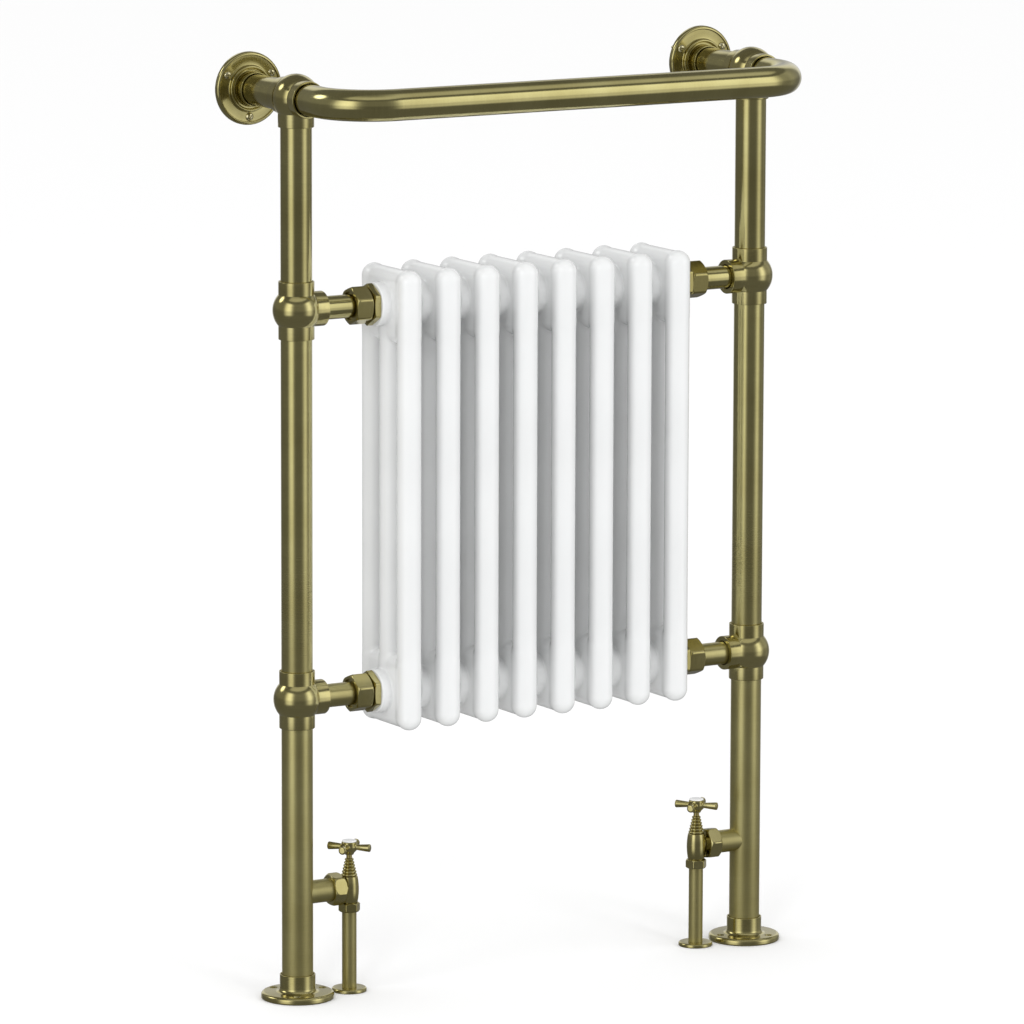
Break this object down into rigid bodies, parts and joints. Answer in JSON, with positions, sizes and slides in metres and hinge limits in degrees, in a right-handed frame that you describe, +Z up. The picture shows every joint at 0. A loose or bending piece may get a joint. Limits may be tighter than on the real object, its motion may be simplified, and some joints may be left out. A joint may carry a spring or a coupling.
{
  "type": "towel warmer rack",
  "caption": "Floor-standing towel warmer: brass ball-jointed posts and bent towel rail round a white column radiator, with crosshead angle valves.",
  "frame": {"origin": "on the floor, under the middle of the whole object", "axes": "+Z up, X along the width, -Y the front with the towel rail, +Y the wall"},
  "size_m": [0.615, 0.2384, 0.9625],
  "materials": {
    "antique_brass": "brushed antique, lacquered",
    "plain_brass": "turned",
    "polished_brass": "bright round heads",
    "white_enamel": "gloss powder coat",
    "zinc_plated_steel": "plated",
    "white_index": "glazed",
    "black_rubber": "matt"
  },
  "bodies": {
    "root": {"bonnet_left": "antique_brass", "bonnet_right": "antique_brass", "compression_nuts": "antique_brass", "floor_flange_left": "antique_brass", "floor_flange_right": "antique_brass", "floor_roses": "antique_brass", "lower_post_left": "antique_brass", "lower_post_right": "antique_brass", "lower_tee_left": "antique_brass", "lower_tee_right": "antique_brass", "middle_post_left": "antique_brass", "middle_post_right": "antique_brass", "olives": "plain_brass", "packing_rings": "black_rubber", "radiator_bushes": "antique_brass", "radiator_section_1": "white_enamel", "radiator_section_2": "white_enamel", "radiator_section_3": "white_enamel", "radiator_section_4": "white_enamel", "radiator_section_5": "white_enamel", "radiator_section_6": "white_enamel", "radiator_section_7": "white_enamel", "radiator_section_8": "white_enamel", "section_nipples": "zinc_plated_steel", "supply_pipe_left": "antique_brass", "supply_pipe_right": "antique_brass", "top_cross_left": "antique_brass", "top_cross_right": "antique_brass", "towel_rail": "antique_brass", "union_nuts": "antique_brass", "union_seals": "black_rubber", "union_tails": "antique_brass", "upper_post_left": "antique_brass", "upper_post_right": "antique_brass", "upper_tee_left": "antique_brass", "upper_tee_right": "antique_brass", "valve_body_left": "antique_brass", "valve_body_right": "antique_brass", "valve_branch_left": "antique_brass", "valve_branch_right": "antique_brass", "valve_union_nuts": "antique_brass", "valve_union_seals": "black_rubber", "wall_flange_left": "antique_brass", "wall_flange_right": "antique_brass", "wall_screws": "polished_brass", "wall_stay_left": "antique_brass", "wall_stay_right": "antique_brass"},
    "handle_left": {"handle_left": "antique_brass", "handle_screw_left": "zinc_plated_steel", "index_disc_left": "white_index", "spindle_left": "plain_brass"},
    "jumper_left": {"jumper_left": "plain_brass", "jumper_washer_left": "black_rubber"},
    "handle_right": {"handle_right": "antique_brass", "handle_screw_right": "zinc_plated_steel", "index_disc_right": "white_index", "spindle_right": "plain_brass"},
    "jumper_right": {"jumper_right": "plain_brass", "jumper_washer_right": "black_rubber"}
  },
  "joints": [
    {"name": "handle_turn_left", "type": "hinge", "parent": "root", "child": "handle_left", "pos_m": [-0.2095, 0.00275, 0.151], "axis": [0, 0, 1], "range_deg": [0, 1080]},
    {"name": "jumper_lift_left", "type": "slide", "parent": "root", "child": "jumper_left", "axis": [0, 0, 1], "range_m": [0, 0.003]},
    {"name": "handle_turn_right", "type": "hinge", "parent": "root", "child": "handle_right", "pos_m": [0.2095, 0.00275, 0.151], "axis": [0, 0, 1], "range_deg": [0, 1080]},
    {"name": "jumper_lift_right", "type": "slide", "parent": "root", "child": "jumper_right", "axis": [0, 0, 1], "range_m": [0, 0.003]}
  ],
  "couplings": [
    {"joint": "jumper_lift_left", "follows": "handle_turn_left", "m_per_rad": 0.000159},
    {"joint": "jumper_lift_right", "follows": "handle_turn_right", "m_per_rad": 0.000159}
  ]
}
